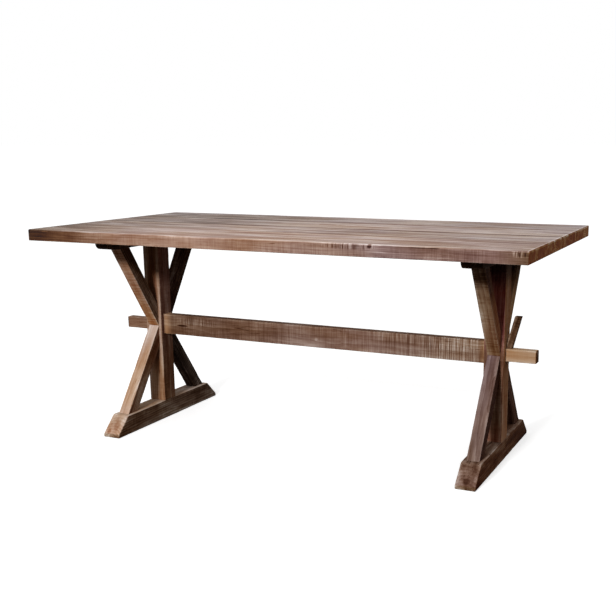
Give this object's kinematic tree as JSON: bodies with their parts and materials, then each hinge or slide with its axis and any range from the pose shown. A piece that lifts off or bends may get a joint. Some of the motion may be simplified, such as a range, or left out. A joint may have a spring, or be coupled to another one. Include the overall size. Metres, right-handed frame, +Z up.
{
  "type": "sawbuck table",
  "caption": "Trestle dining table: a boarded top on crossed-brace frames with square posts and sled feet, tied by a stretcher whose through tenons are held by tusk wedges.",
  "frame": {"origin": "on the floor under the middle of the top", "axes": "+X along the boards, +Y from the front edge to the back edge, +Z up"},
  "size_m": [1.8, 0.9, 0.78],
  "materials": {
    "board_wood": "old sawn boards, waxed, matt",
    "frame_wood": "old sawn timber, waxed, matt",
    "stretcher_wood": "old sawn timber, waxed, matt",
    "wedge_wood": "old timber, waxed, matt",
    "tongue_wood": "plain planed wood",
    "screw_steel": "zinc plated"
  },
  "bodies": {
    "table": {"left_bearer": "frame_wood", "left_bearer_screws": "screw_steel", "left_foot": "frame_wood", "left_lower_back_brace": "frame_wood", "left_lower_front_brace": "frame_wood", "left_post": "frame_wood", "left_upper_back_brace": "frame_wood", "left_upper_front_brace": "frame_wood", "right_bearer": "frame_wood", "right_bearer_screws": "screw_steel", "right_foot": "frame_wood", "right_lower_back_brace": "frame_wood", "right_lower_front_brace": "frame_wood", "right_post": "frame_wood", "right_upper_back_brace": "frame_wood", "right_upper_front_brace": "frame_wood", "stretcher": "stretcher_wood", "top_board_back": "board_wood", "top_board_back_middle": "board_wood", "top_board_front": "board_wood", "top_board_front_middle": "board_wood", "top_spline_back": "tongue_wood", "top_spline_front": "tongue_wood", "top_spline_middle": "tongue_wood"},
    "left_wedge": {"left_tusk_wedge": "wedge_wood"},
    "right_wedge": {"right_tusk_wedge": "wedge_wood"}
  },
  "joints": [
    {"name": "left_wedge_draw", "type": "slide", "parent": "table", "child": "left_wedge", "axis": [-0.2521, 0, 0.9677], "range_m": [0, 0.075]},
    {"name": "right_wedge_draw", "type": "slide", "parent": "table", "child": "right_wedge", "axis": [0.2521, 0, 0.9677], "range_m": [0, 0.075]}
  ]
}
